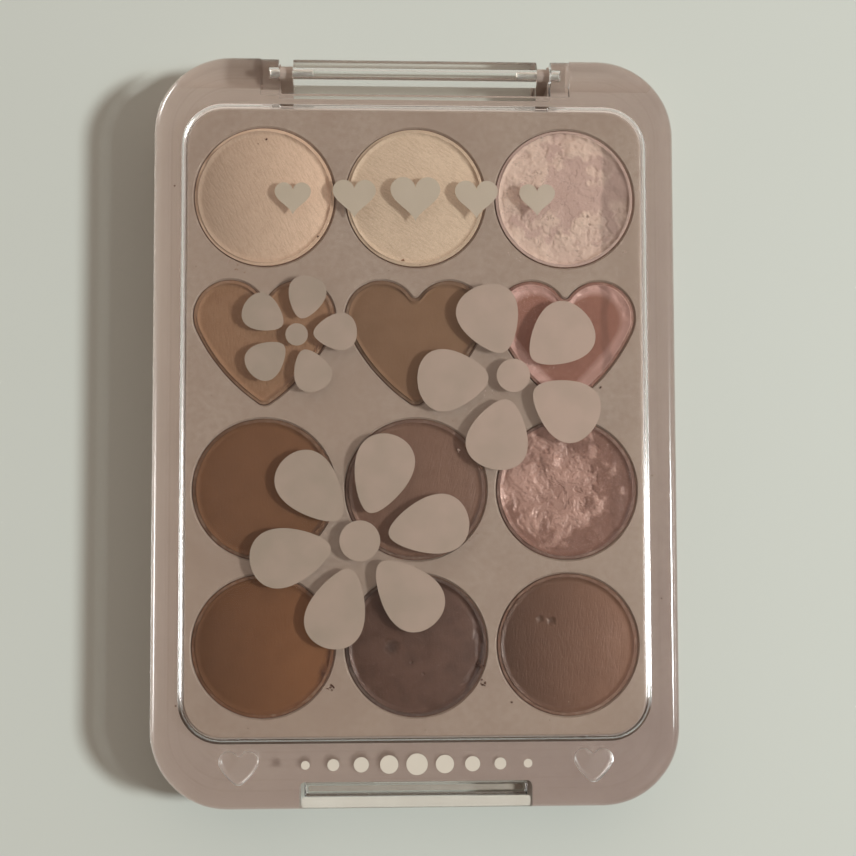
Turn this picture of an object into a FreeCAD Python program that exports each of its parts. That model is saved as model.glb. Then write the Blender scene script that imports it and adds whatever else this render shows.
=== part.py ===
import FreeCAD, Part
import math
import os

os.makedirs("parts", exist_ok=True)

Vector = FreeCAD.Vector
ALONG_X = Vector(1, 0, 0)

# Driving dimensions, in millimetres. X is the width, +Y the hinge side, +Z up, and the
# origin is the middle of the underside.

# Pans and their powder cakes
pan_diameter = 20.0
pan_height = 3.2
pan_wall = 0.35
pan_foot_radius = 0.6
heart_width = 20.0
heart_height = 17.8
heart_lobe_overlap = 0.2
heart_notch_radius = 0.9
heart_tip_radius = 1.4
heart_side_radius = 26.0
column_gap = 1.7
row_gap = 2.2
powder_drop = 0.25
powder_crown = 0.3
powder_side_gap = 0.03
glue_thickness = 0.2
glue_diameter = 9.0
glue_hole = 5.0

# Tray that holds the pans
tray_plate = 1.4
tray_wall = 1.0
tray_rise = 0.7
tray_standoff = 2.5
tray_side_margin = 1.45
tray_rear_margin = 2.97
tray_front_margin = 3.1
tray_edge_fillet = 0.3
well_floor = 1.0
well_clearance = 0.15
well_chamfer = 0.25
push_hole = 3.0
post_diameter = 4.0
nub_length = 7.0
nub_reach = 0.3
nub_spacing = 36.0
nub_below_rim = 2.0
nub_clearance = 0.1

# Base shell
case_corner_radius = 11.0
floor_thickness = 1.8
shell_foot_radius = 1.6
shell_rim_fillet = 0.25
tray_to_shell = 0.12
label_recess = 0.3
label_margin = 9.0
label_corner = 5.0

# Clear lid
lid_thickness = 3.9
lid_roof = 1.8
lid_side_border = 3.7
lid_rear_border = 6.41
lid_front_border = 8.93
lid_top_fillet = 1.5
lid_lower_fillet = 0.25
parting_gap = 0.1
pocket_corner_radius = 6.2
pocket_roof_fillet = 1.4
tray_to_pocket = 0.5
lid_heart_width = 5.6
lid_heart_height = 4.7
lid_heart_lobe_overlap = 0.05
lid_heart_notch_radius = 0.3
lid_heart_tip_radius = 1.0
lid_heart_side_radius = 6.5
lid_heart_depth = 1.4
lid_heart_rounding = 0.6
lid_heart_spacing = 49.8
lid_heart_inset = 5.83

# Hinge
barrel_length = 44.5
barrel_web = 2.4
notch_depth = 5.5
ear_spacing = 37.2
ear_thickness = 1.8
ear_radius = 0.95
ear_gap = 0.15
pin_diameter = 1.0
pin_in_barrel = 3.0
pin_proud = 1.4
pin_chamfer = 0.1
pin_clearance = 0.05
swing_clearance = 0.2

# Front latch
recess_width = 33.0
recess_depth = 3.45
recess_corner = 0.8
tongue_width = 31.5
tongue_set_back = 1.5
tongue_gap = 0.3
tongue_drop = 2.6
tongue_rounding = 0.4
bead_radius = 0.25
bead_length = 12.0
bead_height = 0.8
bead_clearance = 0.1

# Levels and places that follow from the sizes above
shell_floor_z = floor_thickness
cup_bottom_z = shell_floor_z + tray_standoff
well_floor_z = cup_bottom_z + well_floor
pan_bottom_z = well_floor_z + glue_thickness
deck_z = pan_bottom_z + pan_height
plate_bottom_z = deck_z - tray_plate
rim_z = deck_z - tray_rise
lid_bottom_z = rim_z + parting_gap
lid_top_z = lid_bottom_z + lid_thickness
pocket_roof_z = lid_top_z - lid_roof

column_pitch = max(pan_diameter, heart_width) + column_gap
row_heights = [pan_diameter, heart_height, pan_diameter, pan_diameter]
row_is_heart = [False, True, False, False]
column_names = ["left", "middle", "right"]
pan_field_width = len(column_names) * column_pitch - column_gap
pan_field_depth = sum(row_heights) + (len(row_heights) - 1) * row_gap

tray_width = pan_field_width + 2 * tray_side_margin
tray_depth = pan_field_depth + tray_rear_margin + tray_front_margin
tray_corner_radius = pocket_corner_radius - tray_to_pocket
case_width = tray_width + 2 * (tray_to_pocket + lid_side_border)
case_depth = tray_depth + 2 * tray_to_pocket + lid_rear_border + lid_front_border
rear_y = case_depth / 2
front_y = -case_depth / 2
tray_rear_y = rear_y - lid_rear_border - tray_to_pocket
tray_front_y = tray_rear_y - tray_depth
tray_mid_y = (tray_rear_y + tray_front_y) / 2

barrel_radius = lid_thickness / 2
hinge_y = rear_y - barrel_radius
hinge_z = lid_top_z - barrel_radius
barrel_end = barrel_length / 2
ear_inner = (ear_spacing - ear_thickness) / 2
ear_outer = (ear_spacing + ear_thickness) / 2
pin_inner = ear_inner - pin_in_barrel
pin_outer = ear_outer + pin_proud
notch_front_y = rear_y - notch_depth
cove_radius = math.hypot(barrel_radius, barrel_radius) + swing_clearance

recess_back_y = front_y + recess_depth
tongue_front_y = front_y + tongue_set_back
tongue_back_y = recess_back_y - tongue_gap
tongue_bottom_z = lid_bottom_z - tongue_drop
bead_z = tongue_bottom_z + bead_height
nub_z = rim_z - nub_below_rim
overrun = 1.0


def pan_places():
    """Name, middle and kind of every pan, row by row from the hinge."""
    places = []
    row_top = tray_rear_y - tray_rear_margin
    for row, height in enumerate(row_heights):
        middle_y = row_top - height / 2
        for column, side in enumerate(column_names):
            name = f"row{row + 1}_{side}"
            x = (column - (len(column_names) - 1) / 2) * column_pitch
            places.append((name, x, middle_y, row_is_heart[row]))
        row_top -= height + row_gap
    return places


def rounded_block(width, y_from, y_to, z_from, z_to, radius):
    """An upright block, centred on X, with rounded corners."""
    block = Part.makeBox(width, y_to - y_from, z_to - z_from, Vector(-width / 2, y_from, z_from))
    upright = [e for e in block.Edges if abs(e.Vertexes[0].Z - e.Vertexes[1].Z) > overrun / 2]
    return block.makeFillet(radius, upright)


def edges_at(shape, z):
    """Edges that lie in the level plane at height z."""
    return [e for e in shape.Edges if abs(e.BoundBox.ZMin - z) < 1e-6 and abs(e.BoundBox.ZMax - z) < 1e-6]


def rod(x_from, x_to, y, z, radius):
    """A round bar along X."""
    return Part.makeCylinder(radius, x_to - x_from, Vector(x_from, y, z), ALONG_X)


def box_between(low, high):
    """A plain box from its lowest to its highest corner."""
    return Part.makeBox(high[0] - low[0], high[1] - low[1], high[2] - low[2], Vector(*low))


def mirrored(shape):
    """The same shape on the other side of the YZ plane."""
    return shape.mirror(Vector(0, 0, 0), ALONG_X)


def polar(centre, radius, towards):
    """The point at radius from centre, on the line through towards."""
    step = towards.sub(centre)
    return centre.add(step.normalize().multiply(radius))


def arc(centre, radius, start, end):
    """The shorter arc about centre between the directions of two points."""
    first = polar(centre, radius, start)
    last = polar(centre, radius, end)
    middle = polar(centre, radius, first.add(last).multiply(0.5))
    return Part.Arc(first, middle, last).toShape()


def heart_face(width, height, overlap, notch_radius, tip_radius, side_radius, grow=0.0):
    """A flat heart, notch towards +Y, centred on the origin and offset outwards by grow.

    Two round lobes, a rounded notch, a rounded tip and two bowed sides, all tangent.
    """
    lobe_radius = (width / 2 + overlap) / 2
    lobe = Vector(width / 2 - lobe_radius, height / 2 - lobe_radius, 0)
    tip = Vector(0, -height / 2 + tip_radius, 0)
    notch_rise = math.sqrt((lobe_radius + notch_radius) ** 2 - lobe.x ** 2)
    notch = Vector(0, lobe.y + notch_rise, 0)
    # The side's centre lies inside, at side_radius less each end's own radius
    to_lobe = side_radius - lobe_radius
    to_tip = side_radius - tip_radius
    span = lobe.sub(tip)
    along = (to_tip ** 2 - to_lobe ** 2 + span.Length ** 2) / (2 * span.Length)
    aside = math.sqrt(to_tip ** 2 - along ** 2)
    unit = Vector(span.x / span.Length, span.y / span.Length, 0)
    side = Vector(tip.x + unit.x * along - unit.y * aside, tip.y + unit.y * along + unit.x * aside, 0)

    lobe_size = lobe_radius + grow
    tip_size = tip_radius + grow
    side_size = side_radius + grow
    notch_size = notch_radius - grow
    lobe_start = polar(lobe, lobe_size, lobe.add(lobe.sub(side)))
    side_end = polar(tip, tip_size, tip.add(tip.sub(side)))
    crest = lobe.add(Vector(0, lobe_size, 0))
    bottom = tip.add(Vector(0, -tip_size, 0))
    if notch_size > 0:
        lobe_end = polar(lobe, lobe_size, notch)
        notch_bottom = notch.add(Vector(0, -notch_size, 0))
        right_notch = [arc(notch, notch_size, lobe_end, notch_bottom)]
    else:
        # An outline grown past the notch's own radius meets itself in a corner
        lobe_end = Vector(0, lobe.y + math.sqrt(lobe_size ** 2 - lobe.x ** 2), 0)
        right_notch = []
    right = [arc(tip, tip_size, bottom, side_end), arc(side, side_size, side_end, lobe_start)]
    right += [arc(lobe, lobe_size, lobe_start, crest), arc(lobe, lobe_size, crest, lobe_end)]
    right += right_notch
    left = [mirrored(edge) for edge in right]
    return Part.Face(Part.Wire(Part.__sortEdges__(right + left)))


def pan_outline(is_heart, grow):
    """A pan's outline as a flat face about the origin, offset outwards by grow."""
    if is_heart:
        return heart_face(heart_width, heart_height, heart_lobe_overlap, heart_notch_radius,
                          heart_tip_radius, heart_side_radius, grow)
    circle = Part.makeCircle(pan_diameter / 2 + grow)
    return Part.Face(Part.Wire(circle))


def upright(face, x, y, z_from, z_to):
    """A flat outline moved to its place and raised between two levels."""
    moved = face.copy()
    moved.translate(Vector(x, y, z_from))
    return moved.extrude(Vector(0, 0, z_to - z_from))


def make_pan(x, y, is_heart):
    """A drawn metal pan with a rounded foot, open at the top."""
    outside = upright(pan_outline(is_heart, 0), x, y, pan_bottom_z, deck_z)
    outside = outside.makeFillet(pan_foot_radius, edges_at(outside, pan_bottom_z))
    inside = upright(pan_outline(is_heart, -pan_wall), x, y, pan_bottom_z + pan_wall, deck_z + overrun)
    inner_foot = pan_foot_radius - pan_wall
    if inner_foot > 0:
        inside = inside.makeFillet(inner_foot, edges_at(inside, pan_bottom_z + pan_wall))
    return outside.cut(inside)


def make_powder(x, y, is_heart):
    """A pressed powder cake with a low crown, standing in its pan."""
    inset = pan_wall + powder_side_gap
    low = pan_bottom_z + pan_wall
    edge_z = deck_z - powder_drop
    cake = upright(pan_outline(is_heart, -inset), x, y, low, edge_z + powder_crown + overrun)
    inner_foot = pan_foot_radius - pan_wall
    if inner_foot > 0:
        cake = cake.makeFillet(inner_foot, edges_at(cake, low))
    reach = max(pan_diameter, heart_width) / 2 - inset
    crown_radius = (reach ** 2 + powder_crown ** 2) / (2 * powder_crown)
    crown = Part.makeSphere(crown_radius, Vector(x, y, edge_z + powder_crown - crown_radius))
    return cake.common(crown)


def make_glue(x, y):
    """A flat ring of glue that leaves the push-out hole free."""
    ring = Part.makeCylinder(glue_diameter / 2, glue_thickness, Vector(x, y, well_floor_z))
    hole = Part.makeCylinder(glue_hole / 2, glue_thickness, Vector(x, y, well_floor_z))
    return ring.cut(hole)


def post_places(places):
    """Spots between four wells, where the tray stands on the shell's floor."""
    columns = sorted({x for _, x, _, _ in places})
    rows = []
    row_top = tray_rear_y - tray_rear_margin
    for height in row_heights[:-1]:
        row_top -= height + row_gap
        rows.append(row_top + row_gap / 2)
    return [((a + b) / 2, y) for a, b in zip(columns, columns[1:]) for y in rows]


def nub_rods(radius, length):
    """Four round bars along the tray's front and rear edges, for its snap nubs and their seats."""
    bars = []
    for edge_y in (tray_front_y, tray_rear_y):
        for x in (-nub_spacing / 2, nub_spacing / 2):
            bars.append(rod(x - length / 2, x + length / 2, edge_y, nub_z, radius))
    return bars


def make_tray(places):
    """The deck with its wells: a plate, a skirt, a cup round each pan and posts."""
    block = rounded_block(tray_width, tray_front_y, tray_rear_y, shell_floor_z, deck_z, tray_corner_radius)
    hollow = rounded_block(tray_width - 2 * tray_wall, tray_front_y + tray_wall, tray_rear_y - tray_wall,
                           shell_floor_z - overrun, plate_bottom_z, tray_corner_radius - tray_wall)
    cup_grow = well_clearance + tray_wall
    stands = [upright(pan_outline(heart, cup_grow), x, y, cup_bottom_z, deck_z) for _, x, y, heart in places]
    for x, y in post_places(places):
        foot = Vector(x, y, shell_floor_z)
        stands.append(Part.makeCylinder(post_diameter / 2, deck_z - shell_floor_z, foot))
    cups = stands[0].multiFuse(stands[1:])
    tray = block.cut(hollow.cut(cups))
    tray = tray.makeFillet(tray_edge_fillet, outer_edges_at(tray, deck_z))
    for _, x, y, heart in places:
        well = upright(pan_outline(heart, well_clearance), x, y, well_floor_z, deck_z + overrun)
        tray = tray.cut(well)
        tray = tray.cut(Part.makeCylinder(push_hole / 2, well_floor + 2 * overrun,
                                          Vector(x, y, cup_bottom_z - overrun)))
    rims = [e for e in edges_at(tray, deck_z) if not lies_on_outline(e)]
    tray = tray.makeChamfer(well_chamfer, rims)
    return tray.multiFuse(nub_rods(nub_reach, nub_length)).removeSplitter()


def outer_edges_at(shape, z):
    """The edges of a shape's outermost outline at height z."""
    return [e for e in edges_at(shape, z) if lies_on_outline(e)]


def lies_on_outline(edge):
    """Whether an edge runs along the tray's own outline, and not round a well."""
    middle = edge.valueAt((edge.FirstParameter + edge.LastParameter) / 2)
    edge_zone = tray_wall / 2
    near_side = abs(middle.x) > tray_width / 2 - edge_zone
    near_end = middle.y > tray_rear_y - edge_zone or middle.y < tray_front_y + edge_zone
    in_corner = abs(middle.x) > tray_width / 2 - tray_corner_radius
    in_corner = in_corner and abs(middle.y - tray_mid_y) > tray_depth / 2 - tray_corner_radius
    return near_side or near_end or in_corner


def make_ear():
    """The right-hand hinge ear: a rib on the notch's side wall that ends in a round head."""
    rib_front_y = hinge_y - ear_radius
    rib_back_y = hinge_y + ear_radius
    head = rod(ear_inner, ear_outer, hinge_y, hinge_z, ear_radius)
    neck = box_between((ear_inner, rib_front_y, shell_foot_radius), (ear_outer, rib_back_y, hinge_z))
    root = box_between((ear_inner, rib_front_y, shell_foot_radius),
                       (ear_outer + overrun, rib_back_y, rim_z - overrun))
    return head.multiFuse([neck, root]).removeSplitter()


def make_shell():
    """The outer case: an open box with hinge ears, a latch recess and a seat for the tray."""
    shell = rounded_block(case_width, front_y, rear_y, 0, rim_z, case_corner_radius)
    shell = shell.makeFillet(shell_foot_radius, edges_at(shell, 0))
    shell = shell.makeFillet(shell_rim_fillet, edges_at(shell, rim_z))
    seat_radius = tray_corner_radius + tray_to_shell
    seat = rounded_block(tray_width + 2 * tray_to_shell, tray_front_y - tray_to_shell,
                         tray_rear_y + tray_to_shell, shell_floor_z, rim_z + overrun, seat_radius)
    notch = box_between((-ear_outer, notch_front_y, -overrun), (ear_outer, rear_y + overrun, rim_z + overrun))
    recess = rounded_block(recess_width, front_y - 2 * recess_corner - overrun, recess_back_y,
                           -overrun, rim_z + overrun, recess_corner)
    cove = rod(barrel_end - swing_clearance, case_width / 2 + overrun, hinge_y, hinge_z, cove_radius)
    label = rounded_block(case_width - 2 * label_margin, front_y + label_margin, rear_y - label_margin,
                          -overrun, label_recess, label_corner)
    groove = rod(-bead_length / 2 - bead_clearance, bead_length / 2 + bead_clearance,
                 recess_back_y, bead_z, bead_radius + bead_clearance)
    nub_seats = nub_rods(nub_reach + nub_clearance, nub_length + 2 * nub_clearance)
    for cutter in [seat, notch, recess, cove, mirrored(cove), label, groove] + nub_seats:
        shell = shell.cut(cutter)
    ear = make_ear()
    shell = shell.multiFuse([ear, mirrored(ear)]).removeSplitter()
    pin_hole = rod(-ear_outer - overrun, ear_outer + overrun, hinge_y, hinge_z, pin_diameter / 2)
    return shell.cut(pin_hole)


def make_barrel():
    """The lid's round hinge barrel, on the thinner web that joins it to the lid."""
    web_top_z = lid_bottom_z + barrel_web
    to_web = math.sqrt(barrel_radius ** 2 - (web_top_z - hinge_z) ** 2)
    low = Vector(-barrel_end, hinge_y, lid_bottom_z)
    meet = Vector(-barrel_end, hinge_y - to_web, web_top_z)
    front_low = Vector(-barrel_end, notch_front_y, lid_bottom_z)
    front_top = Vector(-barrel_end, notch_front_y, web_top_z)
    round_side = Part.Arc(low, Vector(-barrel_end, rear_y, hinge_z), meet).toShape()
    corners = [meet, front_top, front_low, low]
    lines = [Part.makeLine(start, end) for start, end in zip(corners, corners[1:])]
    profile = Part.Face(Part.Wire([round_side] + lines))
    return profile.extrude(Vector(barrel_length, 0, 0))


def make_latch_tongue():
    """The rib that hangs in the front recess, with its snap bead."""
    tongue = box_between((-tongue_width / 2, tongue_front_y, tongue_bottom_z),
                         (tongue_width / 2, tongue_back_y, lid_bottom_z))
    tongue = tongue.makeFillet(tongue_rounding, edges_at(tongue, tongue_bottom_z))
    bead = rod(-bead_length / 2, bead_length / 2, tongue_back_y, bead_z, bead_radius)
    return tongue.fuse(bead)


def make_lid():
    """The clear lid: a thick-edged plate with a pocket beneath, a hinge barrel and a latch."""
    lid = rounded_block(case_width, front_y, rear_y, lid_bottom_z, lid_top_z, case_corner_radius)
    lid = lid.makeFillet(lid_top_fillet, edges_at(lid, lid_top_z))
    lid = lid.makeFillet(lid_lower_fillet, edges_at(lid, lid_bottom_z))
    gap = box_between((-barrel_end, notch_front_y, lid_bottom_z - overrun),
                      (barrel_end, rear_y + overrun, lid_top_z + overrun))
    lid = lid.cut(gap).multiFuse([make_barrel(), make_latch_tongue()]).removeSplitter()
    ear_slot = box_between((ear_inner - ear_gap, notch_front_y, lid_bottom_z - overrun),
                           (ear_outer + ear_gap, rear_y + overrun, lid_top_z + overrun))
    lid = lid.cut(ear_slot).cut(mirrored(ear_slot))
    pocket = rounded_block(tray_width + 2 * tray_to_pocket, tray_front_y - tray_to_pocket,
                           tray_rear_y + tray_to_pocket, lid_bottom_z - overrun, pocket_roof_z,
                           pocket_corner_radius)
    pocket = pocket.makeFillet(pocket_roof_fillet, edges_at(pocket, pocket_roof_z))
    lid = lid.cut(pocket)
    heart = heart_face(lid_heart_width, lid_heart_height, lid_heart_lobe_overlap, lid_heart_notch_radius,
                       lid_heart_tip_radius, lid_heart_side_radius)
    heart_floor_z = lid_top_z - lid_heart_depth
    for x in (-lid_heart_spacing / 2, lid_heart_spacing / 2):
        dish = upright(heart, x, front_y + lid_heart_inset, heart_floor_z, lid_top_z + overrun)
        lid = lid.cut(dish.makeFillet(lid_heart_rounding, edges_at(dish, heart_floor_z)))
    bore_end = pin_outer + ear_gap
    bore = rod(-bore_end, bore_end, hinge_y, hinge_z, pin_diameter / 2 + pin_clearance)
    return lid.cut(bore)


def make_pin():
    """The right-hand hinge pin, pressed into its ear and running in the barrel on both sides of it."""
    pin = rod(pin_inner, pin_outer, hinge_y, hinge_z, pin_diameter / 2)
    rims = [e for e in pin.Edges if e.BoundBox.XLength < 1e-6]
    return pin.makeChamfer(pin_chamfer, rims)


def main():
    places = pan_places()
    pieces = {"base_shell": make_shell(), "pan_tray": make_tray(places), "lid": make_lid()}
    pin = make_pin()
    pieces["hinge_pin_right"] = pin
    pieces["hinge_pin_left"] = mirrored(pin)
    for name, x, y, is_heart in places:
        pieces["pan_" + name] = make_pan(x, y, is_heart)
        pieces["powder_" + name] = make_powder(x, y, is_heart)
    pieces["pan_glue"] = Part.makeCompound([make_glue(x, y) for _, x, y, _ in places])
    for name, shape in pieces.items():
        shape.exportStep(f"parts/{name}.step")
    print(f"{len(pieces)} pieces, case {case_width:.2f} x {case_depth:.2f} x {lid_top_z:.2f} mm")
    print(f"hinge axis y {hinge_y:.3f} z {hinge_z:.3f}")


main()
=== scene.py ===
import math
import random
import bmesh
import bpy
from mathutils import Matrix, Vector, noise
from mathutils.bvhtree import BVHTree


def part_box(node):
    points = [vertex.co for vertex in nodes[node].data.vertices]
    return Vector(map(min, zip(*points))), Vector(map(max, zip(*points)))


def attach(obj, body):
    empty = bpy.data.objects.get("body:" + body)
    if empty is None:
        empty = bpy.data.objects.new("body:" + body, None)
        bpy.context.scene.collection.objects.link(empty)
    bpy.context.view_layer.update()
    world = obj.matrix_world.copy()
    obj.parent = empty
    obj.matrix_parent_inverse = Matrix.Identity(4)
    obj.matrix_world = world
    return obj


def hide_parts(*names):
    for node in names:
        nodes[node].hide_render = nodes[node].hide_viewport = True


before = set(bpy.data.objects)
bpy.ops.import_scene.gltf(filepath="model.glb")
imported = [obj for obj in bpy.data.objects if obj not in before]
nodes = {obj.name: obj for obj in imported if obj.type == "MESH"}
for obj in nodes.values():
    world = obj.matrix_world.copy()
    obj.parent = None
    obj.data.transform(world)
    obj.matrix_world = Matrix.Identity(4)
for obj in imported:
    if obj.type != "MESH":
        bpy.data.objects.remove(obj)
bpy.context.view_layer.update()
scene = bpy.context.scene
scene.view_settings.view_transform = "Standard"
mm = 0.001


def tone(red, green, blue):
    # a colour as it shows on a screen, 0 to 255, turned into the linear colour that shaders take
    def linear(value):
        value = value / 255
        return value / 12.92 if value <= 0.04045 else ((value + 0.055) / 1.055) ** 2.4
    return (linear(red), linear(green), linear(blue), 1.0)


def clamp(value):
    return min(1.0, max(0.0, value))


# Short cuts for node trees; a node given as a value stands for its first output

def feed(socket, value):
    if isinstance(value, bpy.types.Node):
        value = value.outputs[0]
    if isinstance(value, bpy.types.NodeSocket):
        socket.id_data.links.new(value, socket)
    else:
        socket.default_value = value


def feedAll(node, values):
    for key, value in values.items():
        feed(node.inputs[key], value)


def addNode(tree, kind, values=None, **settings):
    made = tree.nodes.new(kind)
    for name, value in settings.items():
        setattr(made, name, value)
    feedAll(made, values or {})
    return made


def calc(tree, operation, first, second=0.0):
    return addNode(tree, "ShaderNodeMath", {0: first, 1: second}, operation=operation)


def product(tree, first, *others):
    for other in others:
        first = calc(tree, "MULTIPLY", first, other)
    return first


def remap(tree, value, low, high, newLow=0.0, newHigh=1.0):
    return addNode(tree, "ShaderNodeMapRange", {0: value, 1: low, 2: high, 3: newLow, 4: newHigh})


def blendColour(tree, share, first, second):
    return addNode(tree, "ShaderNodeMix", {0: share, 6: first, 7: second}, data_type="RGBA").outputs[2]


def vectorCalc(tree, operation, first, second):
    return addNode(tree, "ShaderNodeVectorMath", {0: first, 1: second}, operation=operation)


def scaled(tree, vector, factor):
    return addNode(tree, "ShaderNodeVectorMath", {0: vector, "Scale": factor}, operation="SCALE")


def axes(tree, vector):
    return addNode(tree, "ShaderNodeSeparateXYZ", {0: vector}).outputs


def noiseAt(tree, place, scale, detail=2.0):
    return addNode(tree, "ShaderNodeTexNoise", {"Vector": place, "Scale": scale, "Detail": detail})


def placeInMm(tree):
    # the piece's own coordinates in millimetres
    return scaled(tree, addNode(tree, "ShaderNodeTexCoord").outputs["Object"], 1 / mm)


def stretched(tree, place, turn, across, along):
    # coordinates turned about z, then drawn out into lines
    turned = addNode(tree, "ShaderNodeVectorRotate", {"Vector": place, "Angle": turn},
                     rotation_type="Z_AXIS")
    return vectorCalc(tree, "MULTIPLY", turned, (across, along, 1.0))


def socketKind(value):
    # the kind of socket for a starting value, or for a kind's name
    if isinstance(value, str):
        return "NodeSocket" + value
    if isinstance(value, tuple):
        return "NodeSocketVector" if len(value) == 3 else "NodeSocketColor"
    return "NodeSocketInt" if isinstance(value, int) else "NodeSocketFloat"


def newGroup(name, inputs, outputs=None):
    # a group of shader nodes or, if no outputs are named, of geometry nodes
    tree = bpy.data.node_groups.new(name, "ShaderNodeTree" if outputs else "GeometryNodeTree")
    for label, value in inputs.items():
        socket = tree.interface.new_socket(label, in_out="INPUT", socket_type=socketKind(value))
        if not isinstance(value, str):
            socket.default_value = value
    for label, value in (outputs or {"Geometry": "Geometry"}).items():
        tree.interface.new_socket(label, in_out="OUTPUT", socket_type=socketKind(value))
    return tree, tree.nodes.new("NodeGroupInput").outputs, tree.nodes.new("NodeGroupOutput").inputs


def placeGroup(tree, group, values):
    return addNode(tree, "ShaderNodeGroup", values, node_tree=group).outputs


def newMaterial(name, values):
    material = bpy.data.materials.new(name)
    material.use_nodes = True
    tree = material.node_tree
    shader = tree.nodes["Principled BSDF"]
    feedAll(shader, values)
    return material, tree, shader


def addBump(shader, height, strength, distance):
    values = {"Height": height, "Strength": strength, "Distance": distance}
    feed(shader.inputs["Normal"], addNode(shader.id_data, "ShaderNodeBump", values))


def letThrough(tree, rays, surface, colour):
    # rays of one kind pass straight on, dimmed by a colour
    path = addNode(tree, "ShaderNodeLightPath")
    clear = addNode(tree, "ShaderNodeBsdfTransparent", {"Color": colour})
    return addNode(tree, "ShaderNodeMixShader", {0: path.outputs[rays], 1: surface, 2: clear})


def setSurface(tree, surface):
    feed(tree.nodes["Material Output"].inputs["Surface"], surface)


def dress(nodeName, material):
    for slot in nodes[nodeName].material_slots:
        slot.material = material


# Short cuts for pieces

def newMesh(name, points, faces, **attributes):
    mesh = bpy.data.meshes.new(name)
    mesh.from_pydata(points, [], faces)
    for label, values in attributes.items():
        mesh.attributes.new(label, "FLOAT", "POINT").data.foreach_set("value", values)
    return mesh


def addObject(name, data):
    made = bpy.data.objects.new(name, data)
    scene.collection.objects.link(made)
    return made


def faceTree(mesh):
    return BVHTree.FromPolygons([v.co for v in mesh.vertices], [p.vertices for p in mesh.polygons])


def newPiece(name, mesh, body):
    piece = addObject(name, mesh)
    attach(piece, body)
    return piece


def grow(name, tree, mesh, values):
    # runs a geometry tree on a mesh and keeps what it makes as a plain mesh
    worker = addObject(name, mesh)
    modifier = worker.modifiers.new("grow", "NODES")
    modifier.node_group = tree
    for item in tree.interface.items_tree:
        if item.in_out == "INPUT" and item.name in values:
            modifier[item.identifier] = values[item.name]
    seen = worker.evaluated_get(bpy.context.evaluated_depsgraph_get())
    grown = bpy.data.meshes.new_from_object(seen)
    bpy.data.objects.remove(worker)
    shape = bmesh.new()
    shape.from_mesh(grown)
    bmesh.ops.recalc_face_normals(shape, faces=shape.faces)
    shape.to_mesh(grown)
    shape.free()
    grown.name = name
    return grown


# Camera

cameraSetup = {
    "place": (-9.455 * mm, -14.694 * mm, 238.27 * mm),
    "tilt": (3.7073, -2.8018, -0.1563),  # degrees about x, y and z
    "lens": 67.29,
    "sensor": 36,
    "nearest": 10 * mm,
}

cameraData = bpy.data.cameras.new("photoCamera")
cameraData.sensor_width = cameraSetup["sensor"]
cameraData.lens = cameraSetup["lens"]
cameraData.clip_start = cameraSetup["nearest"]
camera = addObject("photoCamera", cameraData)
camera.location = cameraSetup["place"]
camera.rotation_euler = [math.radians(angle) for angle in cameraSetup["tilt"]]
scene.camera = camera
print("camera set")


# Light and floor

# each lamp: degrees from +x towards the hinge side, degrees above the floor, metres away, size and watts;
# the windows only show as glints on what is smooth
lampSetup = {
    "keyLamp": {"turn": -3.8, "rise": 44.2, "far": 1.25, "size": (0.2, 0.15), "power": 13.3,
                "colour": (0.9, 0.98, 0.985), "glintOnly": False},
    "rightWindow": {"turn": -4, "rise": 9, "far": 0.95, "size": (0.2, 0.1), "power": 0.7,
                    "colour": (1.0, 0.98, 0.95), "glintOnly": True},
    "cornerWindow": {"turn": 143, "rise": 6.5, "far": 0.95, "size": (0.36, 0.1), "power": 7.0,
                     "colour": (1.0, 0.99, 0.97), "glintOnly": True},
    "leftWindow": {"turn": 183, "rise": 6, "far": 0.95, "size": (0.2, 0.1), "power": 4.0,
                   "colour": (1.0, 0.98, 0.96), "glintOnly": True},
}

roomSetup = {
    "colour": (1.0, 0.855, 0.745, 1.0),
    "byHeight": [(0.0, 0.295), (0.35, 0.44), (0.75, 0.395), (0.93, 0.185), (1.0, 0.12)],
    "front": 0.2,  # share of that light on the latch side
    "rear": 1.95,
}

floorSetup = {
    "size": 4.0,
    "colour": tone(210, 212, 205),
    "patch": tone(205, 207, 199),
    "patchSize": 9.0,
    "rough": 0.7,
    "gloss": 0.2,
}


def makeLamp(name, setup):
    lampData = bpy.data.lights.new(name, "AREA")
    lampData.shape = "ELLIPSE"
    lampData.size, lampData.size_y = setup["size"]
    lampData.energy = setup["power"]
    lampData.color = setup["colour"]
    turn = math.radians(setup["turn"])
    rise = math.radians(setup["rise"])
    away = Vector((math.cos(rise) * math.cos(turn), math.cos(rise) * math.sin(turn), math.sin(rise)))
    lamp = addObject(name, lampData)
    lamp.location = away * setup["far"]
    lamp.rotation_euler = (-away).to_track_quat("-Z", "Y").to_euler()
    lamp.visible_diffuse = not setup["glintOnly"]


def makeRoom():
    world = bpy.data.worlds.new("softRoom")
    world.use_nodes = True
    tree = world.node_tree
    y, z = axes(tree, addNode(tree, "ShaderNodeTexCoord").outputs["Generated"])[1:]
    ramp = addNode(tree, "ShaderNodeValToRGB", {0: z})
    stops = ramp.color_ramp.elements
    while len(stops) < len(roomSetup["byHeight"]):
        stops.new(0.5)
    for stop, (height, level) in zip(stops, roomSetup["byHeight"]):
        stop.position = height
        stop.color = (level, level, level, 1.0)
    side = remap(tree, y, -1.0, 1.0, roomSetup["front"], roomSetup["rear"])
    feedAll(tree.nodes["Background"], {
        "Color": roomSetup["colour"], "Strength": product(tree, ramp, side)})
    scene.world = world


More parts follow.
